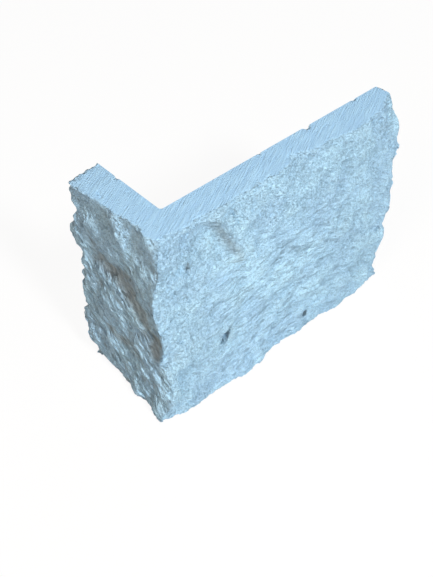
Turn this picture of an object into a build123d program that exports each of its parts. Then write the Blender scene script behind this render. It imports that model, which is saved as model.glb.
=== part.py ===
from build123d import *
import math
import os
import random

# A corner unit of split-faced ledger stone, sawn as an L from one block of pale limestone.
# Millimetres. The origin is where the two sawn backs meet, on the sawn bed. The long leg
# runs along +X and shows its split face to -Y. The return runs along +Y and shows its
# split face to -X. Bed, top and backs are sawn flat, the faces and the ends are broken.

course_height = 150
long_leg = 196
return_leg = 79
long_thickness = 20
return_thickness = 20
inner_corner_radius = 2

# The broken skin runs through level outlines this far apart, with points this far apart
# along each. Behind the backs this much stone is left on until they are sawn.
outline_step = 4
point_step = 5
back_allowance = 6

# The broken faces are described by hollows and swells. Each is given by where its middle
# is, along the leg from the outer corner and up from the bed, its half length and half
# height, how far its length is turned from level in degrees, how much deeper it is at its
# far end than at its near one, and its depth into the stone. A swell's depth is negative.
long_face_relief = {
    "scallop under the top edge": (30, course_height - 30, 26, 38, 45, 0.8, 3.4),
    "basin beside the corner": (0, 97, 60, 32, -8, 0.0, 4.6),
    "swell beyond the basin": (95, 92, 40, 48, 12, 0.0, -2.4),
    "swell right of the scallop": (68, course_height - 6, 26, 22, 0, 0.0, -1.8),
    "flake scar at the corner": (0, 52, 17, 16, -40, 0.4, 3.8),
    "toe of the flake scar": (18, 30, 15, 13, -55, 0.4, 2.0),
    "swell at the corner": (0, 24, 16, 15, 0, 0.0, -2.4),
    "foot of the corner": (-1, 0, 15, 14, 0, 0.0, 3.0),
    "swell low at the left": (20, 10, 18, 20, 0, 0.0, -1.2),
    "knob on the bed edge": (61, 4, 17, 17, 0, 0.0, -3.4),
    "swell on the bed edge": (79, 3, 9, 12, 0, 0.0, -2.4),
    "dip on the bed edge": (97, 4, 22, 16, 0, 0.0, 2.0),
    "dip before the end": (132, 3, 11, 12, 0, 0.0, 1.4),
    "swell before the end": (155, 8, 22, 22, 0, 0.0, -1.8),
    "facet near the lower end": (long_leg - 19, 17, 16, 14, -35, -0.6, 1.6),
    "lower end corner": (long_leg + 2, 0, 26, 34, 20, 0.0, 2.8),
    "swell under the top edge": (154, course_height - 8, 32, 28, 0, 0.0, -3.0),
    "chip in the top edge": (109, course_height + 1, 12, 10, 0, 0.0, 3.4),
    "broken top corner": (long_leg + 3, course_height + 3, 24, 24, 0, 0.0, 9.5),
    "broad groove": (118, 50, 60, 12, -3, 0.0, 1.4),
    "middle hollow": (146, 104, 28, 22, 25, 0.3, 1.6),
    "shelf near the end": (176, 62, 18, 28, 10, 0.4, 1.5),
}
return_face_relief = {
    "chip near the end": (55, course_height - 13, 21, 16, 0, 0.3, 3.4),
    "chip near the corner": (19, course_height - 13, 13, 20, 0, 0.0, 3.2),
    "swell between the chips": (36, course_height - 12, 11, 17, 0, 0.0, -1.6),
    "swell on the top edge": (64, course_height + 4, 24, 14, 0, 0.0, -4.4),
    "notch at the top of the corner": (0, course_height, 10, 14, 0, 0.0, 2.6),
    "upper trough": (52, 103, 30, 13, -17, 0.0, 3.4),
    "bend of the trough": (22, 98, 22, 12, 46, 0.0, 2.6),
    "trough along the corner": (11, 70, 27, 11, 73, 0.0, 3.4),
    "foot of the trough": (2, 36, 22, 12, 75, 0.0, 2.8),
    "ridge at the corner": (-2, 101, 12, 28, 0, 0.0, -4.8),
    "nose at the corner": (0, 54, 9, 12, 0, 0.0, -2.6),
    "swell below the trough": (46, 76, 24, 18, -25, 0.0, -2.0),
    "flake near the end": (66, 29, 16, 16, 30, 0.4, 2.2),
    "facet in the middle": (38, 34, 18, 20, 40, 0.4, 1.6),
    "broken lower corner": (return_leg - 13, 0, 24, 22, 0, 0.0, 2.6),
    "swell on the bed edge": (31, 2, 8, 12, 0, 0.0, -2.6),
    "nick in the bed edge": (38, 2, 8, 11, 0, 0.0, 0.7),
    "dip on the bed edge": (49, 2, 10, 14, 0, 0.0, 1.0),
    "swell at the foot": (4, 0, 18, 16, 0, 0.0, -4.4),
}

# The broken ends, measured across the leg from its split face and up from the bed.
long_end_relief = {
    "broken top corner": (0, course_height - 14, 14, 18, 0, 0.0, 2.2),
    "back corner at the top": (long_thickness, course_height - 2, 10, 14, 0, 0.0, 2.6),
    "swell high up": (2, 111, 18, 13, 0, 0.0, -2.8),
    "swell in the middle": (4, 82, 18, 13, 0, 0.0, -1.6),
    "dip in the middle": (2, 98, 18, 10, 0, 0.0, 2.2),
    "dip below the middle": (6, 44, 20, 12, 0, 0.0, 2.0),
    "lower corner": (4, 20, 30, 24, 0, 0.0, 6.2),
}
return_end_relief = {
    "top edge": (6, course_height + 2, 30, 11, 0, 0.0, 4.2),
    "dip under the top": (4, 131, 22, 12, 0, 0.0, 3.2),
    "swell high up": (2, 109, 24, 15, 0, 0.0, -5.0),
    "nick": (0, 88, 20, 14, 0, 0.0, 4.0),
    "swell low down": (2, 33, 22, 17, 0, 0.0, -5.8),
    "foot": (2, 4, 24, 15, 0, 0.0, 0.6),
}

# Small knobs of the broken skin: one for each patch of this area, with half sizes and
# depths between these limits.
knob_patch_area = 130
knob_half_size = (6, 12)
knob_lean = 0.8
knob_depth = 0.9

# Two broken faces that meet are followed to each other this many times.
corner_rounds = 4

# Natural pores in the long face: along, up, radius of the ball-shaped pore and its depth.
face_pores = {
    "dimple": (20.6, 116.7, 5.2, 2.2),
    "bed edge pore": (118.9, 14.3, 2.6, 1.6),
    "end pore": (188.4, 47.0, 2.8, 1.8),
    "corner pore": (17.4, 6.9, 2.6, 1.6),
}
slot_middle = (48.9, 43.4)
slot_length = 11
slot_width = 4.2
slot_turn = 59
slot_depth = 5
pore_clearance = 10


def hollow_depth(along, up, hollow):
    middle_along, middle_up, half_length, half_height, turn, lean, depth = hollow
    run = along - middle_along
    rise = up - middle_up
    swing = math.radians(turn)
    lengthwise = (run * math.cos(swing) + rise * math.sin(swing)) / half_length
    crosswise = (rise * math.cos(swing) - run * math.sin(swing)) / half_height
    reach = lengthwise**2 + crosswise**2
    if reach >= 1:
        return 0
    return depth * (1 - reach) ** 2 * (1 + lean * lengthwise)


def scattered_knobs(width, height, seed):
    draw = random.Random(seed)
    knobs = []
    for _ in range(round(width * height / knob_patch_area)):
        knob = (
            draw.uniform(0, width),
            draw.uniform(0, height),
            draw.uniform(*knob_half_size),
            draw.uniform(*knob_half_size),
            draw.uniform(0, 180),
            draw.uniform(-knob_lean, knob_lean),
            draw.uniform(-knob_depth, knob_depth),
        )
        knobs.append(knob)
    return knobs


# How deep the broken skin lies behind the true face at one place.
def skin_depth(along, up, hollows):
    return sum(hollow_depth(along, up, hollow) for hollow in hollows)


long_end = long_leg - return_thickness
return_end = return_leg - long_thickness

long_face_hollows = list(long_face_relief.values())
long_face_hollows += scattered_knobs(long_leg, course_height, seed=3)
return_face_hollows = list(return_face_relief.values())
return_face_hollows += scattered_knobs(return_leg, course_height, seed=5)
long_end_hollows = list(long_end_relief.values())
long_end_hollows += scattered_knobs(long_thickness, course_height, seed=8)
return_end_hollows = list(return_end_relief.values())
return_end_hollows += scattered_knobs(return_thickness, course_height, seed=13)


def long_face_y(x, up):
    return skin_depth(x + return_thickness, up, long_face_hollows) - long_thickness


def return_face_x(y, up):
    return skin_depth(y + long_thickness, up, return_face_hollows) - return_thickness


def long_end_x(y, up):
    return long_end - skin_depth(y + long_thickness, up, long_end_hollows)


def return_end_y(x, up):
    return return_end - skin_depth(x + return_thickness, up, return_end_hollows)


# Where two broken faces meet at one level.
def broken_corner(face_x, face_y, y, up):
    for _ in range(corner_rounds):
        x = face_x(y, up)
        y = face_y(x, up)
    return (x, y)


# A smooth line from corner to corner through points of the broken face at one level.
def line_along_x(start, finish, face_y, up, spans):
    shares = [span / spans for span in range(spans + 1)]
    across = [start[0] + (finish[0] - start[0]) * share for share in shares[1:-1]]
    points = [start] + [(x, face_y(x, up)) for x in across] + [finish]
    return Edge.make_spline(points, parameters=shares)


def line_along_y(start, finish, face_x, up, spans):
    shares = [span / spans for span in range(spans + 1)]
    across = [start[1] + (finish[1] - start[1]) * share for share in shares[1:-1]]
    points = [start] + [(face_x(y, up), y) for y in across] + [finish]
    return Edge.make_spline(points, parameters=shares)


levels = round(course_height / outline_step)
long_face_spans = round(long_leg / point_step)
return_face_spans = round(return_leg / point_step)
long_end_spans = round((long_thickness + back_allowance) / point_step)
return_end_spans = round((return_thickness + back_allowance) / point_step)

with BuildPart() as corner_stone:
    # The split block before it is sawn: one outline a level, past the bed and the top.
    for level in range(-1, levels + 2):
        up = course_height * level / levels
        corner = broken_corner(return_face_x, long_face_y, -long_thickness, up)
        long_tip = broken_corner(long_end_x, long_face_y, -long_thickness, up)
        return_tip = broken_corner(return_face_x, return_end_y, return_end, up)
        long_back = (long_end_x(back_allowance, up), back_allowance)
        return_back = (back_allowance, return_end_y(back_allowance, up))
        with BuildSketch(Plane.XY.offset(up)):
            with BuildLine():
                add(line_along_x(corner, long_tip, long_face_y, up, long_face_spans))
                add(line_along_y(long_tip, long_back, long_end_x, up, long_end_spans))
                Polyline(long_back, (back_allowance, back_allowance), return_back)
                add(line_along_x(return_back, return_tip, return_end_y, up, return_end_spans))
                add(line_along_y(return_tip, corner, return_face_x, up, return_face_spans))
            make_face()
    loft(ruled=True)

    # The saw cuts: bed, top and the two backs, with the small round left between the backs.
    with BuildSketch():
        Rectangle(2 * long_leg, 2 * return_leg)
        with Locations((0, 0)):
            Rectangle(long_leg, return_leg, align=(Align.MIN, Align.MIN), mode=Mode.SUBTRACT)
        inner_corner = vertices().sort_by_distance((0, 0))[0]
        fillet(inner_corner, radius=inner_corner_radius)
    extrude(amount=course_height, mode=Mode.INTERSECT)

    # The pores that stand open in the long face.
    for along, up, radius, depth in face_pores.values():
        x = along - return_thickness
        with Locations((x, long_face_y(x, up) + depth - radius, up)):
            Sphere(radius, mode=Mode.SUBTRACT)
    slot_x = slot_middle[0] - return_thickness
    slot_floor = long_face_y(slot_x, slot_middle[1]) + slot_depth
    with BuildSketch(Plane(origin=(0, slot_floor, 0), x_dir=(1, 0, 0), z_dir=(0, -1, 0))):
        with Locations((slot_x, slot_middle[1])):
            SlotOverall(slot_length, slot_width, rotation=slot_turn)
    extrude(amount=slot_depth + pore_clearance, mode=Mode.SUBTRACT)

corner_stone.part.label = "corner_stone"

os.makedirs("parts", exist_ok=True)
export_step(corner_stone.part, "parts/corner_stone.step")
print("corner_stone", round(corner_stone.part.volume), "cubic millimetres")
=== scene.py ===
import math
import random

import bmesh
import bpy
from mathutils import Matrix, Vector, kdtree, noise


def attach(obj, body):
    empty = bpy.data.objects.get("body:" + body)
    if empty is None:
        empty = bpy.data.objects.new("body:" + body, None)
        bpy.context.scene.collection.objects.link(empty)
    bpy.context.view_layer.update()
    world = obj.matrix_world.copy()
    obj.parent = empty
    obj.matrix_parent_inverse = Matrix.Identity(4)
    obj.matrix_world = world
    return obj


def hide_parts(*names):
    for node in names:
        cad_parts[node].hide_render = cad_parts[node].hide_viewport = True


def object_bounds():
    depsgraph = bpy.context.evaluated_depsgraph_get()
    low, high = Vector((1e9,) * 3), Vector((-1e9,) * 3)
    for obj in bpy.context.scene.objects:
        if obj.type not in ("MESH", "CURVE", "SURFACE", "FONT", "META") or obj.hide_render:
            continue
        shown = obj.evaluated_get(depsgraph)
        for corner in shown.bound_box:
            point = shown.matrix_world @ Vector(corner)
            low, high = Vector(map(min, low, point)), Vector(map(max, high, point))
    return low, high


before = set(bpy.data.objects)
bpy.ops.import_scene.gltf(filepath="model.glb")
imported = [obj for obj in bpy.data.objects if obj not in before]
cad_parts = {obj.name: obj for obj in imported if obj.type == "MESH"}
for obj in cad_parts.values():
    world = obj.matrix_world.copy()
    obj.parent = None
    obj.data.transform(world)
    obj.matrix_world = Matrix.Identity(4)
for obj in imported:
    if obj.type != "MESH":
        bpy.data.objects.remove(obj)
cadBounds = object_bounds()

mm = 0.001

# The stone is a copy of the solid with an even skin of small faces. Lengths are in millimetres.
# "along" runs on the long leg and "back" on the return, both from the outer corner, and "up"
# is the height over the sawn bed.
blank = {
    "weld": 0.001,
    "cell": 0.80,
    "octreeDepth": 8,
    "returnThickness": 20.0,
    "longThickness": 20.0,
    "height": 150.0,
    "innerRound": 2.3, "innerSlack": 0.05,
    "planeSlack": 0.02,
    "leastLean": 1e-4,      # a normal that leans less than this off a sawn plane stays put
    "arrisShare": 0.2,      # a place that is this much on two broken faces is on an arris
    "flatSlack": 0.003, "flatStart": 3.0, "flatSawn": 0.999, "flatAngle": 1.0,
    "sharpAngle": 38.0,
}
tiny = 1e-6
quadCorners = 4

# Broken grain of the stone. Round lumps have a size, how far they stand out, and a seed.
grain = {
    "swell": (14.0, 1.5, 8.3),
    "knob": (6.0, 0.95, 3.1),
    "pebble": (2.7, 0.18, 5.7),
    "granule": (1.3, 0.10, 9.2),
    "flakeSize": 5.2, "flakeTilt": 0.28,
    "smallFlakeSize": 2.3, "smallFlakeTilt": 0.28, "smallFlakeSeed": 3.3,
    "flakeBend": 0.22, "flakeBendScale": 1.7, "flakeDraw": 31.7, "flakeSeed": 1.1,
    "flakeStretch": 0.22,
    "streakLength": 20.0, "streakWidth": 2.0, "streakDepth": 0.25,
    "fineStreakLength": 12.0, "fineStreakWidth": 1.2, "fineStreakDepth": 0.13,
    "streakRidge": 0.75, "streakCrease": 0.5, "creaseLevel": 0.25,
    "streakSway": 1.4, "swayWidth": 4, "swaySeed": 7.3,
    "streakBow": 0.0022, "streakCrown": 85.0,       # the long face's streaks bow over this place
    "returnSlope": 1.05,                            # the return's streaks climb by this much
    "leastShare": 0.02,
    "endBrimShare": 0.45,
}

# The streaks of each broken face: how strong they are and how much they calm the round grain.
longSplit = {"seeds": (1.5, 4.5, 5.2), "fineShare": 1.0, "flakeShare": 1.0, "calming": 0.6, "marks": 1.5}
returnSplit = {"seeds": (2.5, 6.5, 7.7), "fineShare": 1.3, "flakeShare": 1.1, "calming": 0.5}
endSplit = {"seed": 8.5, "share": 0.5, "calming": 0.6}

# Where each face is streaked and where it is granular: the least of it, and the stretches over which
# it comes and goes.
longStreaked = {
    "least": 0.15, "high": (124, 92), "highLeast": 0.2,
    "corner": (14, 64), "end": (120, 165), "endLoss": 0.55,
}
returnStreaked = {"least": 0.35, "high": (130, 100)}

# One facet of the long face is smooth: its oval (place, half sizes and turn), its edge and its lean.
smoothFacet = {"oval": (173.6, 17.5, 13.5, 7.0, -52), "edge": (1.3, 0.8), "lean": 0.30, "lumpLoss": 0.7}

# How the marks below are drawn: the raised lip beside a ledge, and how short the ends of a line are.
marks = {"lipHeight": 0.12, "lipFade": 0.9, "ledgeEnd": 0.03, "grooveEnd": 0.02, "reach": 3}

# Small ledges scattered over the broken faces, each along the grain of its face.
looseLedges = {
    "longWidth": 196, "returnWidth": 79, "margin": 4,
    "longCount": 80, "returnCount": 60, "length": (5.0, 17.0), "drop": (0.20, 0.65),
    "wall": 1.1, "fade": (2.0, 4.5), "sway": 16.0, "steps": (-1.0, -0.4, 0.3, 1.0), "seed": 17,
}

# Ledges where a flake came off: the line of the ledge, how far the ground drops beside it,
# the width of the wall, how soon the ground comes back, and which side is the low one.
longLedges = {
    "scallopRim": (
        [(15, 149.4), (24, 147.4), (34, 146.0), (42, 141.4),
         (47.5, 136), (53, 126.5), (57, 116.5), (62.5, 104)],
        3.2, 8.0, 13.0, "right",
    ),
    "scallopLip": (
        [(30, 146.8), (35, 145.6), (42, 141.2), (47.5, 136), (53, 126.5), (57, 116.5), (61, 108)],
        0.4, 0.9, 3.0, "right",
    ),
    "scallopFoot": ([(51, 104), (58, 101.5), (64, 99.6), (69, 97.4)], 1.4, 1.6, 5.0, "right"),
    "bowlEdge": ([(29.6, 125.5), (31.9, 120), (33.7, 115.5)], 0.45, 1.0, 4.0, "left"),
    "arcOverDimple": (
        [(24.5, 114), (27.5, 115.6), (31.5, 114.2), (35.6, 111.2), (40.7, 104.9)], 0.45, 1.0, 4.0, "right",
    ),
    "basinEdge": ([(68.2, 90), (68.6, 82), (66, 76), (59.4, 73), (47.5, 74)], 0.45, 1.4, 5.0, "right"),
    "lowArc": (
        [(76.8, 52.6), (94.8, 53.2), (108.2, 49.2), (121.2, 42.8), (133.3, 36.3)], 0.55, 1.1, 5.0, "right",
    ),
    "lowArcUnder": ([(109.6, 43.3), (119.2, 40), (131, 33.5), (150, 23.2)], 0.4, 1.0, 4.0, "right"),
    "endArc": ([(146, 38), (156, 34), (166, 28.4)], 0.5, 1.0, 4.0, "right"),
    "facetTop": ([(163.9, 43.8), (167.5, 37), (173, 34), (181, 31)], 0.8, 1.2, 4.5, "right"),
    "topChipCurve": ([(132, 149.8), (136.4, 147.8), (137.4, 144.6), (136.4, 141)], 0.7, 0.9, 3.5, "right"),
    "flakeFirst": ([(8.3, 59.5), (10, 52), (12, 43), (14.2, 36)], 0.8, 0.9, 3.0, "right"),
    "flakeSecond": ([(10.4, 55), (13.2, 44.5), (16.2, 33)], 0.6, 0.9, 3.0, "right"),
    "flakeToe": ([(12.7, 29.3), (18.2, 20.4), (23.4, 15.4), (30, 13.6)], 0.45, 0.9, 3.5, "right"),
    "flakeFoot": ([(3.6, 31.6), (8, 23.6), (13, 17.6), (18.4, 15)], 0.8, 1.0, 4.0, "right"),
    "ripple": ([(15.3, 51.9), (19, 45), (23.5, 39.8), (32.4, 33)], 0.3, 1.0, 3.0, "left"),
    "rippleOuter": ([(24.8, 34.9), (29, 31), (35, 29.6), (41.5, 31)], 0.3, 1.0, 3.0, "left"),
    "cornerShoulder": ([(6, 80), (14, 70), (16, 63), (24, 60)], 0.35, 1.6, 5.0, "right"),
    "endShelf": ([(184, 60), (188, 52), (194, 48.6)], 0.7, 1.1, 4.0, "left"),
    "upperStep": ([(92, 129), (101, 126.6), (112, 128.4), (121, 124)], 0.3, 1.3, 5.0, "right"),
    "middleStep": ([(140.6, 54), (151, 55), (161, 53.3), (174, 47)], 0.35, 1.1, 4.5, "right"),
}
# Grooves: the line, the depth and the half width.
longGrooves = {
    "scallopCrack": ([(14, 141.6), (19, 143.8), (26, 145), (33.5, 145.4)], 0.45, 0.55),
    "forkLeft": ([(52.6, 144), (55.4, 138.6), (57.8, 132)], 1.3, 0.9),
    "forkRight": ([(57.6, 138.5), (58.8, 133), (59.4, 127)], 1.1, 0.8),
    "longStreak": ([(56, 48.4), (66, 51.4), (81.6, 53.6), (92, 54.6)], 0.35, 0.7),
    "highStreak": ([(70, 66), (88, 69.5), (104, 66)], 0.28, 0.7),
    "lowStreak": ([(60, 34), (80, 37), (101, 34.4), (118, 29)], 0.28, 0.7),
    "endDent": ([(162.6, 46.6), (165.2, 41), (169.6, 36.6)], 0.7, 0.9),
}
# Pits: the place, the half sizes, the turn in degrees and the depth.
longPits = {
    "smallDent": (75.2, 126.9, 2.6, 1.8, 30, 0.7),
    "dimpleEye": (24.2, 112.8, 2.3, 4.0, 5, 3.4),
    "slotMouth": (50.2, 48.0, 2.1, 3.4, -38, 7.0),
    "slotThroat": (47.4, 45.0, 2.2, 3.8, -38, 3.2),
    "slotTongue": (44.8, 41.6, 3.0, 4.6, -36, 1.3),
    "bedPit": (119.4, 13.4, 1.5, 2.8, -20, 2.2),
    "cornerPit": (15.4, 9.6, 2.2, 1.4, 10, 0.9),
    "endPit": (188.6, 46.2, 1.9, 2.4, 10, 0.9),
    "facetPit": (174.6, 5.2, 1.6, 1.0, 30, 0.5),
    "chipPit": (105.1, 143.6, 2.4, 3.2, 0, 0.6),
}
# Painted shade on the long face, on the down-facing wall of the scallop and in the dimple, slot and pit: the
# line of each, how strong it is and its half width.
longPaintedShade = {
    "scallopWall": (
        [(36, 144.5), (41.5, 140.0), (46, 131.5), (50, 123.5), (54, 115.5), (58.5, 107.5), (62, 101)],
        0.50, 3.2,
    ),
    "scallopToe": ([(51, 104), (58, 101.5), (64, 99.6)], 0.40, 1.2),
    "dimple": ([(24.8, 117.0), (24.4, 111.0)], 0.85, 1.5),
    "slot": ([(51.6, 50.4), (48.4, 46.2)], 1.0, 1.7),
    "slotToe": ([(48.4, 46.2), (43.4, 40.0)], 0.45, 2.4),
    "bedPit": ([(119.0, 15.4), (120.2, 11.8)], 0.8, 1.1),
}

returnLedges = {
    "bulgeLedge": ([(62, 115.9), (58.9, 113), (57.5, 106.3), (53, 101)], 0.9, 1.1, 4.0, "left"),
    "troughLedge": ([(28.6, 117.5), (26, 114), (24.4, 109), (23.6, 100)], 0.8, 1.2, 5.0, "left"),
    "troughFoot": ([(41.6, 97.6), (39, 92), (36.6, 86), (30, 79)], 0.6, 1.2, 4.5, "right"),
    "plateLedge": ([(29.8, 99), (23.6, 95.4), (16.6, 94.8), (11.4, 93)], 0.8, 1.0, 5.0, "right"),
    "deepLedge": (
        [(28.6, 91), (22.9, 83.4), (20.4, 75), (17.8, 69.4), (12.4, 64.2), (5, 60.6)], 1.0, 1.1, 5.0, "right",
    ),
    "innerLedge": ([(34, 70), (27, 62), (18, 55), (10, 46)], 0.6, 1.1, 4.0, "left"),
    "facetSide": ([(45.8, 33), (45.4, 24), (42.4, 18), (38, 13.6)], 0.6, 1.1, 3.5, "left"),
    "endBulge": ([(75.4, 30), (74.4, 24.4), (68, 23), (62, 26)], 0.8, 1.0, 4.0, "right"),
    "endToe": ([(72, 19.4), (66, 20), (60.4, 22.4)], 0.6, 1.0, 3.5, "left"),
    "lowStep": ([(36, 48), (29, 38), (22, 27), (14, 13)], 0.5, 1.2, 4.0, "left"),
    "chipWall": ([(44.5, 148), (43, 141), (42, 134), (45, 127)], 0.6, 1.2, 4.0, "right"),
    "chipWallInner": ([(11, 146.5), (9.6, 139), (9.8, 131), (12, 124)], 0.7, 1.2, 4.0, "right"),
}
returnGrooves = {
    "deepCleft": ([(22.4, 79.6), (21, 75.4), (18.8, 71.6)], 1.0, 0.9),
    "highCleft": ([(52.6, 101), (49, 95), (44.4, 89)], 0.6, 0.9),
    "midCleft": ([(60, 77), (53, 70), (46, 63.6)], 0.4, 0.8),
    "lowCleft": ([(56, 52), (48, 44), (42, 39)], 0.4, 0.8),
    "nearCleft": ([(26.6, 62), (20, 54), (14.6, 49)], 0.5, 0.8),
    "footCleft": ([(24, 18), (18, 11), (15, 4)], 0.5, 0.8),
}
returnPits = {
    "chipEye": (33, 131, 2.0, 1.2, 20, 0.6),
    "chipDent": (33.6, 121, 1.6, 3.4, -20, 0.7),
    "cleftEye": (20.2, 75.6, 1.3, 2.2, 40, 0.8),
    "endHollow": (74.5, 31, 2.0, 3.0, 30, 0.8),
}

# Broad forms of the return that the fine relief rides on: hollows, swells (negative) and troughs.
returnForms = {
    "chipHollow": (48.5, 139.0, 9.0, 11.0, 10, 1.3),
    "cornerHollow": (20.5, 139.0, 7.0, 10.0, 0, 1.1),
    "spineBetween": (31.0, 130.0, 6.0, 15.0, 0, -1.1),
    "highSwell": (60.0, 126.0, 8.0, 12.0, 0, -1.4),
    "endSwell": (54.0, 65.0, 13.0, 16.0, 0, -1.3),
    "toeSwell": (67.5, 31.0, 6.5, 7.5, 0, -1.7),
    "facetSwell": (39.0, 27.5, 6.5, 14.0, -40, -1.3),
    "flakeScar": (10.5, 57.0, 7.5, 14.0, 0, 2.0),
    "footSwell": (20.0, 15.0, 7.5, 9.0, 0, -1.2),
}
returnTroughs = {
    "bend": ([(68, 99), (55, 96.5), (42, 98), (32, 93), (25, 84), (19.5, 72), (15, 60)], 1.7, 6.0),
    "lowTrough": ([(60, 47), (48, 40), (36, 44), (24, 40)], 1.2, 4.5),
    "bedFringe": ([(72, -2), (54, -2), (34, -2), (18, -2)], 1.6, 5.5),
}

# What the saw left on the top, in plan: a slit, a few open pores and the grainy end of the return.
topGrooves = {
    "slit": ([(5.7, 57.4), (4.2, 54.4), (3.6, 51), (1.4, 50)], 0.9, 0.75),
}
topPits = {
    "innerPore": (17.0, 43.4, 1.6, 1.0, 40, 0.35),
    "smallPore": (71.0, 8.6, 0.9, 0.7, 0, 0.3),
    "edgePore": (17.2, 24.8, 0.9, 0.7, 0, 0.3),
    "farPore": (142.0, 12.0, 0.9, 0.8, 0, 0.3),
}
grainyTop = {
    "start": 53.0, "reach": 8.0, "lastAlong": 60.0, "depth": 0.16,
    "level": 0.5, "lumps": (2.2, 0.5, 4.4), "fineLumps": (1.3, 0.3, 1.1), "sawnLoss": 0.10,
}

# The edges of the top are worn all along, and chips are out of the edges: place, radius and depth.
edgeWear = {"depth": 0.45, "reach": 1.6, "level": 0.35, "lumps": (4.0, 0.9, 2.2), "sawnLoss": 0.4}
edgeChips = {
    "innerNotch": ((111.0, 0.0, 150.0), 3.4, 1.7),
    "innerNick": ((152.0, 0.0, 150.0), 2.0, 0.6),
    "innerNickTwo": ((73.0, 0.0, 150.0), 1.7, 0.5),
    "returnNotch": ((0.0, 38.0, 150.0), 2.6, 0.7),
    "chipBesideDip": ((84.6, -15.6, 150.0), 4.0, 1.2),
    "chipBeyondDip": ((90.6, -17.6, 150.0), 3.0, 0.9),
    "roundedTip": ((177.5, -14.0, 150.0), 8.0, 2.6),
    "roundedTipBack": ((178.5, -3.0, 150.0), 4.5, 1.2),
    "returnTip": ((-18.6, 57.0, 149.0), 8.0, 1.3),
    "returnTipBack": ((-2.0, 59.0, 150.0), 4.5, 0.6),
    "endToe": ((172.0, -17.6, 2.0), 3.5, 0.8),
    "returnToe": ((-18.2, 55.0, 3.6), 3.5, 0.8),
}
smallChips = {"count": 420, "radius": (0.9, 2.6), "depth": 0.45, "seed": 21}
arrisChips = {"count": 90, "radius": (2.0, 6.0), "depth": 1.3, "seed": 34}


def smoothStep(low, high, value):
    share = min(1.0, max(0.0, (value - low) / (high - low)))
    return share * share * (3 - 2 * share)


def nearestOnLine(line, along, up):
    # distance to the line, negative on its right, and how far along it the nearest point is, 0 to 1
    best = None
    travelled = 0.0
    for (ax, ay), (bx, by) in zip(line, line[1:]):
        dx, dy = bx - ax, by - ay
        length = math.hypot(dx, dy)
        share = max(0.0, min(1.0, ((along - ax) * dx + (up - ay) * dy) / (length * length)))
        gapX, gapY = along - ax - share * dx, up - ay - share * dy
        gap = math.hypot(gapX, gapY)
        if best is None or gap < best[0]:
            best = (gap, dx * gapY - dy * gapX, travelled + share * length)
        travelled += length
    gap, side, reached = best
    return (gap if side >= 0 else -gap), reached / travelled


def reachOf(line, margin):
    return (min(p[0] for p in line) - margin, max(p[0] for p in line) + margin,
            min(p[1] for p in line) - margin, max(p[1] for p in line) + margin)


def inReach(reach, along, up):
    return reach[0] < along < reach[1] and reach[2] < up < reach[3]


def taperOf(share, end):
    # full in the middle of a line, and little is left at its ends
    return math.sqrt(max(0.0, math.sin(math.pi * min(1 - end, max(end, share)))))


def ledgeDrop(ledge, along, up):
    reach, line, drop, wall, fade, lowSide = ledge
    if not inReach(reach, along, up):
        return 0.0
    gap, share = nearestOnLine(line, along, up)
    if lowSide == "right":
        gap = -gap
    taper = taperOf(share, marks["ledgeEnd"])
    if gap < 0:
        return -marks["lipHeight"] * drop * taper * math.exp(gap / marks["lipFade"])
    return drop * taper * smoothStep(0.0, wall, gap) * math.exp(-gap / fade)


def grooveDrop(groove, along, up):
    reach, line, depth, width = groove
    if not inReach(reach, along, up):
        return 0.0
    gap, share = nearestOnLine(line, along, up)
    return depth * taperOf(share, marks["grooveEnd"]) * math.exp(-((gap / width) ** 2))


def ovalReach(oval, along, up):
    # 0 in the middle of the oval and 1 on its edge
    middleAlong, middleUp, halfLength, halfHeight, turn = oval
    swing = math.radians(turn)
    run, rise = along - middleAlong, up - middleUp
    lengthwise = (run * math.cos(swing) + rise * math.sin(swing)) / halfLength
    crosswise = (rise * math.cos(swing) - run * math.sin(swing)) / halfHeight
    return lengthwise ** 2 + crosswise ** 2


def pitDrop(pit, along, up):
    *oval, depth = pit
    reach = ovalReach(oval, along, up)
    return depth * (1 - reach) ** 2 if reach < 1 else 0.0


def grainDirection(face, along):
    # the way the streaks of a broken face run at one place, in radians from level
    if face == "long":
        return math.atan(-2 * grain["streakBow"] * (along - grain["streakCrown"]))
    return math.atan(grain["returnSlope"])


def scatterLedges(face, width, count, seed):
    draw = random.Random(seed)
    margin = looseLedges["margin"]
    ledges = []
    for _ in range(count):
        along, up = draw.uniform(0, width), draw.uniform(margin, blank["height"] - margin)
        half = draw.uniform(*looseLedges["length"]) / 2
        line = []
        for step in looseLedges["steps"]:
            turn = grainDirection(face, along) + math.radians(draw.uniform(-1, 1) * looseLedges["sway"])
            line.append((along + step * half * math.cos(turn), up + step * half * math.sin(turn)))
        drop, fade = draw.uniform(*looseLedges["drop"]), draw.uniform(*looseLedges["fade"])
        ledges.append((line, drop, looseLedges["wall"], fade, draw.choice(("left", "right", "right"))))
    return ledges


def gather(ledges, grooves, pits):
    # every mark of one face, with the reach outside which it does nothing
    reach = marks["reach"]
    return (
        [(reachOf(line, reach * fade), line, *drops, fade, side) for line, *drops, fade, side in ledges],
        [(reachOf(line, reach * width), line, depth, width) for line, depth, width in grooves],
        list(pits),
    )


def marksDrop(marksOfFace, along, up):
    ledges, grooves, pits = marksOfFace
    drop = sum(ledgeDrop(ledge, along, up) for ledge in ledges)
    drop += sum(grooveDrop(groove, along, up) for groove in grooves)
    return drop + sum(pitDrop(pit, along, up) for pit in pits)


longScatter = scatterLedges("long", looseLedges["longWidth"], looseLedges["longCount"], looseLedges["seed"])
returnScatter = scatterLedges(
    "return", looseLedges["returnWidth"], looseLedges["returnCount"], looseLedges["seed"] + 1)
longMarks = gather(list(longLedges.values()) + longScatter, longGrooves.values(), longPits.values())
returnMarks = gather(
    list(returnLedges.values()) + returnScatter,
    list(returnGrooves.values()) + list(returnTroughs.values()),
    list(returnPits.values()) + list(returnForms.values()),
)
topMarks = gather([], topGrooves.values(), topPits.values())
paintedShadeMarks = gather([], longPaintedShade.values(), [])


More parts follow.
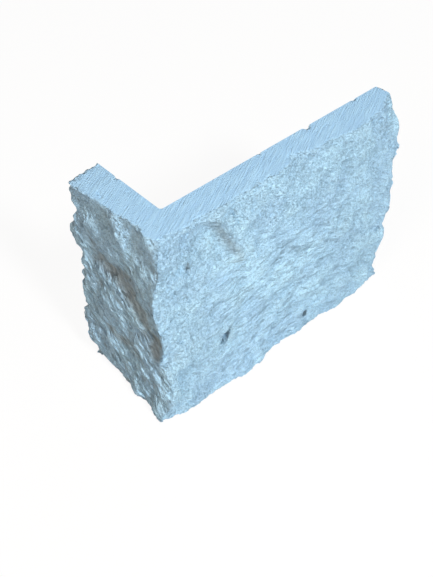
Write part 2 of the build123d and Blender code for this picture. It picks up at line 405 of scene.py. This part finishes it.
def lumps(place, layer):
    size, depth, seed = layer
    spot = Vector((place[0] / size + seed, place[1] / size - seed, place[2] / size + 0.5 * seed))
    return depth * noise.noise(spot)


def streak(lengthwise, crosswise, length, width, seed):
    # long ridges with sharper grooves between them
    swayWidth = grain["swayWidth"] * width
    swayPlace = Vector((lengthwise / length, crosswise / swayWidth, seed + grain["swaySeed"]))
    sway = grain["streakSway"] * noise.noise(swayPlace)
    value = noise.noise(Vector((lengthwise / length, crosswise / width + sway, seed)))
    return grain["streakRidge"] * value + grain["streakCrease"] * (grain["creaseLevel"] - abs(value))


def coarseStreak(lengthwise, crosswise, seed):
    depth = grain["streakDepth"]
    return depth * streak(lengthwise, crosswise, grain["streakLength"], grain["streakWidth"], seed)


def fineStreak(lengthwise, crosswise, share, seed):
    depth = share * grain["fineStreakDepth"]
    return depth * streak(lengthwise, crosswise, grain["fineStreakLength"], grain["fineStreakWidth"], seed)


bendShifts = [Vector(shift) for shift in ((9.3, -1.5, -7.9), (0.0, 0.0, 0.0), (6.3, 0.2, -2.7))]


def bendAt(place):
    # a plain noise for each direction, because noise_vector is not the same from run to run
    return Vector([noise.noise(place + shift) for shift in bendShifts])


def flake(spot, size, seed):
    # one tilted facet for each random cell, with a small step to its neighbours
    place = spot / size + Vector((seed, -seed, 0.5 * seed))
    place += grain["flakeBend"] * bendAt(place * grain["flakeBendScale"])
    centre = noise.voronoi(place)[1][0]
    lean = noise.cell_vector(centre * grain["flakeDraw"]) - Vector((0.5, 0.5, 0.5))
    return size * lean.dot(place - centre)


def flakes(spot, seed):
    large = grain["flakeTilt"] * flake(spot, grain["flakeSize"], seed)
    small = grain["smallFlakeTilt"] * flake(spot, grain["smallFlakeSize"], seed + grain["smallFlakeSeed"])
    return large + small


def splitLines(values, lengthwise, crosswise, outward):
    # the streaks of one face and its flakes, which are drawn out along them
    coarseSeed, fineSeed, flakeSeed = values["seeds"]
    lines = coarseStreak(lengthwise, crosswise, coarseSeed)
    lines += fineStreak(lengthwise, crosswise, values["fineShare"], fineSeed)
    spot = Vector((lengthwise * grain["flakeStretch"], outward, crosswise))
    return lines + values["flakeShare"] * flakes(spot, flakeSeed)


def faceShares(normal):
    # how much a place belongs to the long face, the return face and the ends
    ends = max(0.0, normal.x) ** 3 + max(0.0, normal.y) ** 3
    facing = (max(0.0, -normal.y) ** 3, max(0.0, -normal.x) ** 3, ends)
    whole = sum(facing) + tiny
    return [share / whole for share in facing]


def longStreaks(along, up):
    # where the long face is streaked and not granular, 0 to 1
    values = longStreaked
    middle = smoothStep(*values["corner"], along)
    middle = middle * (1 - values["endLoss"] * smoothStep(*values["end"], along))
    high = values["highLeast"] + (1 - values["highLeast"]) * smoothStep(*values["high"], up)
    return values["least"] + (1 - values["least"]) * high * middle


def returnStreaks(up):
    least = returnStreaked["least"]
    return least + (1 - least) * smoothStep(*returnStreaked["high"], up)


def brokenRelief(place, normal):
    # how far the fine grain stands out at one place and how deep its marks are, in millimetres,
    # and how streaked each face is there
    along = place.x + blank["returnThickness"]
    back = place.y + blank["longThickness"]
    up = place.z
    onLong, onReturn, onEnds = faceShares(normal)
    out = lumps(place, grain["swell"]) + lumps(place, grain["knob"])
    granular = lumps(place, grain["pebble"]) + lumps(place, grain["granule"])
    granular += flakes(place, grain["flakeSeed"])
    calm = 1.0
    streaked = recess = bedding = cleft = 0.0
    if onLong > grain["leastShare"]:
        crown = up + grain["streakBow"] * (along - grain["streakCrown"]) ** 2
        bedding = onLong * longStreaks(along, up)
        streaked += bedding * splitLines(longSplit, along, crown, back)
        calm -= longSplit["calming"] * bedding
        facet = onLong * smoothStep(*smoothFacet["edge"], ovalReach(smoothFacet["oval"], along, up))
        calm *= 1 - facet
        streaked *= 1 - facet
        out *= 1 - smoothFacet["lumpLoss"] * facet
        out -= facet * smoothFacet["lean"] * (up - smoothFacet["oval"][1])
        recess += onLong * longSplit["marks"] * marksDrop(longMarks, along, up)
    if onReturn > grain["leastShare"]:
        slope = grain["returnSlope"]
        scale = math.hypot(1, slope)
        lengthwise = (back + slope * up) / scale
        crosswise = (up - slope * back) / scale
        cleft = onReturn * returnStreaks(up)
        streaked += cleft * splitLines(returnSplit, lengthwise, crosswise, place.x)
        calm -= returnSplit["calming"] * cleft
        recess += onReturn * marksDrop(returnMarks, back, up)
    if onEnds > grain["leastShare"]:
        streaked += onEnds * endSplit["share"] * coarseStreak(place.x + place.y, up, endSplit["seed"])
        calm -= endSplit["calming"] * onEnds
    return out + granular * max(0.0, calm) + streaked, recess, bedding, cleft


def sawnPlanes(place):
    # the sawn planes that a place lies on, as the axis each one locks
    slack = blank["planeSlack"]
    locked = []
    if abs(place.z) < slack or abs(place.z - blank["height"]) < slack:
        locked.append(2)
    if abs(place.y) < slack and place.x > -slack:
        locked.append(1)
    if abs(place.x) < slack and place.y > -slack:
        locked.append(0)
    return locked


def blankFromFrame(name):
    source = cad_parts["corner_stone"]
    shape = bmesh.new()
    shape.from_mesh(source.data)
    bmesh.ops.remove_doubles(shape, verts=shape.verts, dist=blank["weld"] * mm)
    mesh = bpy.data.meshes.new(name + "Blank")
    shape.to_mesh(mesh)
    shape.free()
    piece = bpy.data.objects.new(name + "Blank", mesh)
    bpy.context.scene.collection.objects.link(piece)
    remesh = piece.modifiers.new("skin", "REMESH")
    remesh.mode = "SHARP"
    remesh.octree_depth = blank["octreeDepth"]
    longest = max(piece.dimensions)
    remesh.scale = longest / (blank["cell"] * mm * 2 ** blank["octreeDepth"])
    remesh.use_remove_disconnected = False
    view = bpy.context.evaluated_depsgraph_get()
    skin = bpy.data.meshes.new_from_object(piece.evaluated_get(view))
    skin.name = name
    bpy.data.objects.remove(piece)
    return skin


def isInnerRound(place):
    # the small round between the two backs
    low, high = -blank["innerSlack"], blank["innerRound"]
    return low < place.x < high and low < place.y < high


def isArris(shares):
    # a place between two broken faces, or between one and an end
    onLong, onReturn, onEnds = (share > blank["arrisShare"] for share in shares)
    return onLong and (onReturn or onEnds) or onReturn and onEnds


def carve(shape):
    # moves the broken skin, keeps the sawn planes flat, and notes what the finish needs
    names = ("sawn", "hollow", "recess", "bedding", "cleft", "paintedShade")
    layers = {name: shape.verts.layers.float.new(name) for name in names}
    low, high = (Vector(corner) / mm for corner in cadBounds)
    places = {vert: vert.co / mm for vert in shape.verts}
    locks = {vert: sawnPlanes(place) for vert, place in places.items()}
    brim, arris, moves = [], [], []
    for vert, place in places.items():
        locked = locks[vert]
        if isInnerRound(place) or (locked and all(locks[edge.other_vert(vert)] for edge in vert.link_edges)):
            vert[layers["sawn"]] = 1.0
            continue
        direction = vert.normal.copy()
        for axis in locked:
            direction[axis] = 0.0
        if direction.length < blank["leastLean"]:
            continue
        direction.normalize()
        if locked:
            brim.append(vert)
        shares = faceShares(direction)
        onLong, onReturn, onEnds = shares
        if isArris(shares):
            arris.append(vert)
        relief, recess, bedding, cleft = brokenRelief(place, direction)
        if locked:
            relief *= 1 - (1 - grain["endBrimShare"]) * onEnds
        vert[layers["hollow"]] = -relief
        vert[layers["recess"]] = recess
        # painted shade on the long face, along its listed lines
        vert[layers["paintedShade"]] = onLong * marksDrop(paintedShadeMarks, place.x + blank["returnThickness"], place.z)
        vert[layers["bedding"]] = bedding
        vert[layers["cleft"]] = cleft
        moves.append((vert, place + direction * (relief - recess)))
    for vert, place in moves:
        vert.co = Vector(max(l, min(h, p)) for l, h, p in zip(low, high, place)) * mm
    return brim, arris


def wearTop(shape, brim):
    # the top is not quite flat: a slit, pores, the grainy end of the return and worn edges
    edge = kdtree.KDTree(len(brim))
    for number, vert in enumerate(brim):
        edge.insert(vert.co, number)
    edge.balance()
    sawn = shape.verts.layers.float["sawn"]
    hollow = shape.verts.layers.float["hollow"]
    grainyEnd = grainyTop["start"] + grainyTop["reach"]
    for vert in shape.verts:
        place = vert.co / mm
        if abs(place.z - blank["height"]) > blank["planeSlack"]:
            continue
        along = place.x + blank["returnThickness"]
        back = place.y + blank["longThickness"]
        gap = edge.find(vert.co)[2] / mm
        drop = marksDrop(topMarks, along, back)
        rough = smoothStep(grainyTop["start"], grainyEnd, back) if along <= grainyTop["lastAlong"] else 0.0
        level = grainyTop["level"] + lumps(place, grainyTop["lumps"]) + lumps(place, grainyTop["fineLumps"])
        drop += rough * grainyTop["depth"] * level
        worn = smoothStep(edgeWear["reach"], 0.0, gap)
        drop += worn * edgeWear["depth"] * max(0.0, edgeWear["level"] + lumps(place, edgeWear["lumps"]))
        if drop > 0:
            vert.co.z -= drop * mm
            vert[hollow] = drop
        vert[sawn] *= 1 - grainyTop["sawnLoss"] * rough - edgeWear["sawnLoss"] * worn * (1 - rough)


def chipEdges(shape, brim, arris):
    verts = list(shape.verts)
    tree = kdtree.KDTree(len(verts))
    for number, vert in enumerate(verts):
        tree.insert(vert.co, number)
    tree.balance()
    sawn = shape.verts.layers.float["sawn"]
    shape.normal_update()
    chips = [(Vector(centre) * mm, radius, depth) for centre, radius, depth in edgeChips.values()]
    for edge, values in ((brim, smallChips), (arris, arrisChips)):
        draw = random.Random(values["seed"])
        for vert in draw.sample(edge, min(len(edge), values["count"])):
            radius = draw.uniform(*values["radius"])
            chips.append((vert.co.copy(), radius, values["depth"] * radius / values["radius"][1]))
    moved = {}
    for centre, radius, depth in chips:
        found = [(number, gap) for _, number, gap in tree.find_range(centre, radius * mm)]
        inward = Vector()
        for number, _ in found:
            inward -= verts[number].normal
        if inward.length < tiny:
            continue
        inward.normalize()
        for number, gap in found:
            share = (1 - (gap / (radius * mm)) ** 2) ** 2
            moved[number] = moved.get(number, Vector()) + inward * depth * share
            verts[number][sawn] *= 1 - share
    for number, move in moved.items():
        verts[number].co += move * mm


def lightenFlats(shape):
    # the backs and the bed need few faces away from their edges
    slack, start = blank["flatSlack"] * mm, blank["flatStart"] * mm
    sawn = shape.verts.layers.float["sawn"]
    tests = [
        lambda co: abs(co.z) < slack,
        lambda co: abs(co.y) < slack and co.x > start,
        lambda co: abs(co.x) < slack and co.y > start,
        lambda co: abs(co.z - blank["height"] * mm) < slack,
    ]
    for test in tests:
        flat = {v for v in shape.verts if v[sawn] > blank["flatSawn"] and test(v.co)}
        verts = [v for v in shape.verts if v in flat and all(e.other_vert(v) in flat for e in v.link_edges)]
        inside = set(verts)
        edges = [e for e in shape.edges if e.verts[0] in inside and e.verts[1] in inside]
        bmesh.ops.dissolve_limit(
            shape, angle_limit=math.radians(blank["flatAngle"]), use_dissolve_boundaries=False,
            verts=verts, edges=edges, delimit={"NORMAL"})


def splitStone():
    skin = blankFromFrame("splitStone")
    shape = bmesh.new()
    shape.from_mesh(skin)
    print("blank", len(shape.verts), "points")
    brim, arris = carve(shape)
    print("carved the broken skin,", len(brim), "points on the sawn edges,", len(arris), "on the arrises")
    shape.normal_update()
    wearTop(shape, brim)
    chipEdges(shape, brim, arris)
    lightenFlats(shape)
    bmesh.ops.recalc_face_normals(shape, faces=shape.faces)
    for face in shape.faces:
        face.smooth = len(face.verts) <= quadCorners
    shape.to_mesh(skin)
    shape.free()
    skin.set_sharp_from_angle(angle=math.radians(blank["sharpAngle"]))
    piece = bpy.data.objects.new("splitStone", skin)
    bpy.context.scene.collection.objects.link(piece)
    skin.calc_loop_triangles()
    print("split stone", len(skin.vertices), "points,", len(skin.loop_triangles), "triangles")
    return piece


class Wire:
    # a socket that can be used in plain arithmetic
    def __init__(self, graph, socket):
        self.graph = graph
        self.socket = socket

    def maths(self, operation, first, second):
        return self.graph.add("ShaderNodeMath", {"operation": operation}, {0: first, 1: second})

    def __add__(self, other):
        return self.maths("ADD", self, other)

    def __radd__(self, other):
        return self.maths("ADD", other, self)

    def __sub__(self, other):
        return self.maths("SUBTRACT", self, other)

    def __rsub__(self, other):
        return self.maths("SUBTRACT", other, self)

    def __mul__(self, other):
        return self.maths("MULTIPLY", self, other)

    def __rmul__(self, other):
        return self.maths("MULTIPLY", other, self)

    def __abs__(self):
        return self.graph.add("ShaderNodeMath", {"operation": "ABSOLUTE"}, {0: self})


class Graph:
    # the nodes of one material or world
    def __init__(self, owner):
        owner.use_nodes = True
        self.tree = owner.node_tree
        self.tree.nodes.clear()

    def add(self, kind, settings=None, sockets=None, output=0):
        # one node: its settings first, then its sockets; a tuple of outputs gives a list of wires
        node = self.tree.nodes.new(kind)
        for name, value in (settings or {}).items():
            setattr(node, name, value)
        for name, value in (sockets or {}).items():
            if isinstance(value, Wire):
                self.tree.links.new(value.socket, node.inputs[name])
            else:
                node.inputs[name].default_value = value
        if not node.outputs:
            return None
        if isinstance(output, tuple):
            return [Wire(self, node.outputs[name]) for name in output]
        return Wire(self, node.outputs[output])

    def noise(self, place, scale, detail, roughness, output=0):
        sockets = {"Vector": place, "Scale": scale, "Detail": detail, "Roughness": roughness}
        return self.add("ShaderNodeTexNoise", {}, sockets, output)

    def turned(self, place, turn=(0.0, 0.0, 0.0), scale=(1.0, 1.0, 1.0)):
        turn = tuple(math.radians(angle) for angle in turn)
        sockets = {"Vector": place, "Rotation": turn, "Scale": scale}
        return self.add("ShaderNodeMapping", {"vector_type": "POINT"}, sockets)

    def parts(self, place):
        return self.add("ShaderNodeSeparateXYZ", {}, {"Vector": place}, ("X", "Y", "Z"))

    def joined(self, *lengths):
        return self.add("ShaderNodeCombineXYZ", {}, dict(enumerate(lengths)))

    def vector(self, operation, *vectors, output=0):
        return self.add("ShaderNodeVectorMath", {"operation": operation}, dict(enumerate(vectors)), output)

    def flake(self, place, scale):
        # the height of one tilted facet for each random cell
        bend = self.noise(place, scale * finish["flakeBendScale"], 0.0, 0.5, "Color")
        bent = self.vector("MULTIPLY_ADD", bend, (finish["flakeBend"] / scale,) * 3, place)
        sockets = {"Vector": bent, "Scale": scale}
        colour, centre = self.add("ShaderNodeTexVoronoi", {}, sockets, ("Color", "Position"))
        lean = self.vector("SUBTRACT", colour, (0.5, 0.5, 0.5))
        return self.vector("DOT_PRODUCT", lean, self.vector("SUBTRACT", bent, centre), output="Value")

    def flakes(self, place, scales):
        large, small = scales
        return finish["largeFlakes"] * self.flake(place, large) + self.flake(place, small)

    def ramp(self, value, low, high, start=0.0, end=1.0):
        sockets = {"Value": value, "From Min": low, "From Max": high, "To Min": start, "To Max": end}
        return self.add("ShaderNodeMapRange", {"clamp": True}, sockets)

    def mix(self, share, first, second):
        # sockets 6 and 7 are the two colours of the node, and output 2 is the mixed one
        return self.add("ShaderNodeMix", {"data_type": "RGBA"}, {0: share, 6: first, 7: second}, 2)

    def tint(self, name, value, first, second):
        # goes over from the first colour to the second where the value rises from low to high
        low, high, share = tints[name]
        return self.mix(self.ramp(value, low, high) * share, first, second)


# Finish of the stone: its colours, and the strength of each part of the fine grain.
finish = {
    "colour": (0.425, 0.690, 0.900, 1.0),
    "paleColour": (0.510, 0.800, 0.985, 1.0),
    # dark grains and specks, and painted shade in hollows and creases
    "darkGrainAndShadeColour": (0.300, 0.480, 0.620, 1.0),
    "blueColour": (0.345, 0.560, 0.830, 1.0),
    # the painted shade in the recesses and hollows of the return
    "recessShadeColour": (0.300, 0.350, 0.360, 1.0),
    # the painted shade on the scallop wall and in the pits of the long face
    "shadeColour": (0.150, 0.165, 0.165, 1.0),
    "sawnColour": (0.330, 0.570, 0.830, 1.0),
    "roughness": 0.93, "specular": 0.25,
    "flakeTilt": 2.3, "granules": 0.45, "creases": 0.16, "grit": 0.65, "creaseWidth": 0.07,
    "sawLines": 0.62, "specks": 0.75, "sawTurn": 28.4,
    "flakeBend": 0.5, "flakeBendScale": 1.7, "largeFlakes": 0.6,
    "beddedLoss": 0.8, "splitLoss": 0.7, "splitShare": 2.8,
}
# Patterns in lumps a millimetre, with their octaves and roughness.
patterns = {
    "clouds": (0.035, 3.0, 0.55),
    "mottle": (0.30, 3.0, 0.6),
    "specks": (1.3, 1.0, 0.5),
    "sawLines": (1.5, 1.0, 0.6),
    "granules": (0.62, 1.0, 0.6),
    "creases": (0.65, 1.0, 0.55),
    "grit": (1.5, 1.0, 0.6),
    "plainFlakes": (0.6, 1.15), "beddedFlakes": (0.65, 1.2), "splitFlakes": (0.6, 1.15),
}
# How far the patterns are drawn out along the saw's path, the bed and the cleft of the return.
stretches = {"saw": (0.05, 1.0, 0.05), "bed": (0.14, 0.6), "cleft": (0.6, 0.16, 1.0)}
# Changes of colour: where each starts, where it is full and how strong it is.
tints = {
    "pale": (0.55, 1.05, 0.8),
    "clouds": (0.40, 0.62, 0.35),
    # painted shade in hollows and creases, with some of the granules' tone
    "shadeAndGrain": (-0.12, 0.45, 0.6),
    "grit": (0.80, 0.60, 0.75),
    # painted shade on the scallop wall and in the pits of the long face
    "paintedShade": (0.0, 1.0, 1.0),
    # painted shade in the recesses of the return
    "recessShade": (0.6, 1.8, 0.7),
    "sawPale": (0.35, 0.75, 0.5),
    "sawSpecks": (0.64, 0.50, 0.35),
}
# How much a second pattern sways each change of colour.
sways = {
    "mottleInPale": 0.4, "hollowShadeInPale": 0.35,
    "hollowInShadeAndGrain": 0.45, "granulesInShadeAndGrain": 0.9, "creasesInShadeAndGrain": 0.35,
    "granulesInGrit": 0.5,
    "paintedShadeLevel": 0.75, "mottleInPaintedShade": 0.5,
    "hollowInRecessShade": 0.5, "mottleInRecessShade": 0.6,
    "linesInSpecks": 0.4,
}


def limestone():
    material = bpy.data.materials.new("splitLimestone")
    graph = Graph(material)
    place = graph.add("ShaderNodeTexCoord", output="Object")
    inMm = graph.turned(place, scale=(1 / mm, 1 / mm, 1 / mm))
    sawPlace = graph.turned(graph.turned(inMm, turn=(0.0, 0.0, -finish["sawTurn"])), scale=stretches["saw"])
    along, back, up = graph.parts(inMm)
    pastCrown = along + (blank["returnThickness"] - grain["streakCrown"])
    crown = up + grain["streakBow"] * (pastCrown * pastCrown)
    alongBed, acrossBed = stretches["bed"]
    beddingPlace = graph.joined(along * alongBed, back * acrossBed, crown)
    cleftTurn = -math.degrees(math.atan(grain["returnSlope"]))
    cleftPlace = graph.turned(graph.turned(inMm, turn=(cleftTurn, 0.0, 0.0)), scale=stretches["cleft"])
    sawn, hollow, recess, bedding, cleft, paintedShade = (
        graph.add("ShaderNodeAttribute", {"attribute_name": name}, output="Fac")
        for name in ("sawn", "hollow", "recess", "bedding", "cleft", "paintedShade")
    )
    clouds, mottle, specks, granules, creases, grit = (
        graph.noise(inMm, *patterns[name])
        for name in ("clouds", "mottle", "specks", "granules", "creases", "grit")
    )
    sawLines = graph.noise(sawPlace, *patterns["sawLines"])

    # the fine grain, in millimetres: tilted flakes with creases between them, drawn out where
    # the stone split along its bed
    creaseHeight = graph.ramp(abs(creases - 0.5), 0.0, finish["creaseWidth"])
    plain = graph.flakes(inMm, patterns["plainFlakes"])
    bedded = graph.flakes(beddingPlace, patterns["beddedFlakes"])
    split = graph.flakes(cleftPlace, patterns["splitFlakes"])
    flaked = plain * (1 - finish["beddedLoss"] * bedding) * (1 - finish["splitLoss"] * cleft)
    flaked = flaked + bedded * bedding + finish["splitShare"] * split * cleft
    roughHeight = finish["flakeTilt"] * flaked + finish["granules"] * granules
    roughHeight = roughHeight + finish["creases"] * creaseHeight + finish["grit"] * grit
    sawHeight = finish["sawLines"] * sawLines + finish["specks"] * specks
    height = roughHeight * (1 - sawn) + sawHeight * sawn

    # paler with the granules and the mottle, and less pale in hollows, which is painted shade
    pale = granules + sways["mottleInPale"] * mottle - sways["hollowShadeInPale"] * hollow
    # painted shade: darker in hollows and in the creases, and darker where the granules are low
    shadeAndGrain = sways["hollowInShadeAndGrain"] * hollow - sways["granulesInShadeAndGrain"] * (granules - 0.5)
    shadeAndGrain = shadeAndGrain - sways["creasesInShadeAndGrain"] * creaseHeight
    # painted shade along the listed lines of the long face, made uneven by the mottle
    paintedShadeAmount = paintedShade * (sways["paintedShadeLevel"] + sways["mottleInPaintedShade"] * mottle)
    # painted shade in the recesses and hollows of the return, made uneven by the mottle
    recessShadeAmount = recess + sways["hollowInRecessShade"] * hollow + sways["mottleInRecessShade"] * mottle
    colour = graph.tint("pale", pale, finish["colour"], finish["paleColour"])
    colour = graph.tint("clouds", clouds, colour, finish["blueColour"])
    colour = graph.tint("shadeAndGrain", shadeAndGrain, colour, finish["darkGrainAndShadeColour"])
    colour = graph.tint("grit", grit + sways["granulesInGrit"] * granules, colour, finish["darkGrainAndShadeColour"])
    # the colour goes over to the painted shade colour there
    colour = graph.tint("paintedShade", paintedShadeAmount, colour, finish["shadeColour"])
    # on the return only, the colour goes over to the painted recess shade
    low, high, share = tints["recessShade"]
    colour = graph.mix(graph.ramp(recessShadeAmount, low, high) * cleft * share, colour, finish["recessShadeColour"])
    sawnColour = graph.tint("sawPale", sawLines, finish["sawnColour"], finish["paleColour"])
    speckled = specks + sways["linesInSpecks"] * sawLines
    sawnColour = graph.tint("sawSpecks", speckled, sawnColour, finish["darkGrainAndShadeColour"])
    colour = graph.mix(sawn, colour, sawnColour)

    bump = graph.add("ShaderNodeBump", {}, {"Height": height, "Strength": 1.0, "Distance": mm})
    shader = graph.add("ShaderNodeBsdfPrincipled", {}, {
        "Base Color": colour, "Roughness": finish["roughness"],
        "Specular IOR Level": finish["specular"], "Normal": bump,
    })
    graph.add("ShaderNodeOutputMaterial", {}, {"Surface": shader})
    return material


# The camera stands where the photograph was taken. The key lamp is high and in front of the long
# face, so that it grazes the return, and a large warm lamp fills from the left.
studio = {
    "azimuth": -41.0333, "elevation": 44.8740, "roll": -1.2427,
    "cameraPlace": (-0.23644, -0.31600, 0.48147),
    "focalPixels": 958.77, "photoHeight": 577, "sensor": 36.0,
    "lampAim": (0.07, 0.0, 0.08), "lampDistance": 2.4,
    "worldStrength": 0.08,
    "white": (1.0, 1.0, 1.0, 1.0),
    "floorSize": 4.0, "floorGap": 0.0001, "floorColour": (0.85, 0.85, 0.85, 1.0), "floorWhite": 0.93,
}
lamps = {
    "keyLamp": {"from": (-0.11, -0.74, 0.66), "power": 68.0, "size": 0.4, "colour": (1.0, 1.0, 1.0)},
    "fillLamp": {"from": (-0.74, -0.24, 0.63), "power": 29.0, "size": 0.9, "colour": (1.0, 0.78, 0.62)},
}


def makeCamera():
    camera = bpy.data.objects.new("camera", bpy.data.cameras.new("camera"))
    bpy.context.scene.collection.objects.link(camera)
    azimuth, elevation, roll = (math.radians(studio[name]) for name in ("azimuth", "elevation", "roll"))
    level = math.cos(elevation)
    back = Vector((math.sin(azimuth) * level, -math.cos(azimuth) * level, math.sin(elevation)))
    right = Vector((math.cos(azimuth), math.sin(azimuth), 0.0))
    upward = back.cross(right)
    turnedRight = math.cos(roll) * right + math.sin(roll) * upward
    turnedUp = -math.sin(roll) * right + math.cos(roll) * upward
    turn = Matrix((turnedRight, turnedUp, back)).transposed().to_4x4()
    camera.matrix_world = Matrix.Translation(studio["cameraPlace"]) @ turn
    camera.data.sensor_width = studio["sensor"]
    camera.data.lens = studio["focalPixels"] * studio["sensor"] / studio["photoHeight"]
    bpy.context.scene.camera = camera


def makeLamp(name, values):
    lamp = bpy.data.objects.new(name, bpy.data.lights.new(name, "AREA"))
    lamp.data.energy = values["power"]
    lamp.data.shape = "DISK"
    lamp.data.size = values["size"]
    lamp.data.color = values["colour"]
    away = Vector(values["from"]).normalized()
    lamp.location = Vector(studio["lampAim"]) + away * studio["lampDistance"]
    lamp.rotation_euler = away.to_track_quat("Z", "Y").to_euler()
    bpy.context.scene.collection.objects.link(lamp)


def makeWorld():
    # white to the camera and in reflections, and only a little light on the stone
    world = bpy.data.worlds.new("studio")
    bpy.context.scene.world = world
    graph = Graph(world)
    camera, glossy = graph.add("ShaderNodeLightPath", output=("Is Camera Ray", "Is Glossy Ray"))
    strength = graph.ramp(camera + glossy, 0.0, 1.0, start=studio["worldStrength"])
    background = graph.add("ShaderNodeBackground", {}, {"Color": studio["white"], "Strength": strength})
    graph.add("ShaderNodeOutputWorld", {}, {"Surface": background})


def paleFloor():
    # nearly white to the camera, so that only the shadow shows
    material = bpy.data.materials.new("paleFloor")
    graph = Graph(material)
    seen = graph.add("ShaderNodeLightPath", output="Is Camera Ray")
    matt = graph.add("ShaderNodeBsdfDiffuse", {}, {"Color": studio["floorColour"]})
    white = graph.add("ShaderNodeEmission", {}, {"Color": studio["white"], "Strength": 1.0})
    both = graph.add("ShaderNodeMixShader", {}, {0: seen * studio["floorWhite"], 1: matt, 2: white})
    graph.add("ShaderNodeOutputMaterial", {}, {"Surface": both})
    return material


def makeFloor():
    shape = bmesh.new()
    bmesh.ops.create_grid(shape, x_segments=1, y_segments=1, size=studio["floorSize"] / 2)
    bmesh.ops.translate(shape, verts=shape.verts, vec=(0.0, 0.0, -studio["floorGap"]))
    mesh = bpy.data.meshes.new("floor")
    shape.to_mesh(mesh)
    shape.free()
    floor = bpy.data.objects.new("floor", mesh)
    bpy.context.scene.collection.objects.link(floor)
    mesh.materials.append(paleFloor())


makeCamera()
for lampName, lampValues in lamps.items():
    makeLamp(lampName, lampValues)
makeWorld()
makeFloor()
print("camera, lamps and floor")

stone = splitStone()
stone.data.materials.append(limestone())
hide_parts("corner_stone")
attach(stone, "root")
bpy.context.scene.view_settings.view_transform = "Standard"
print("stone dressed in split limestone")
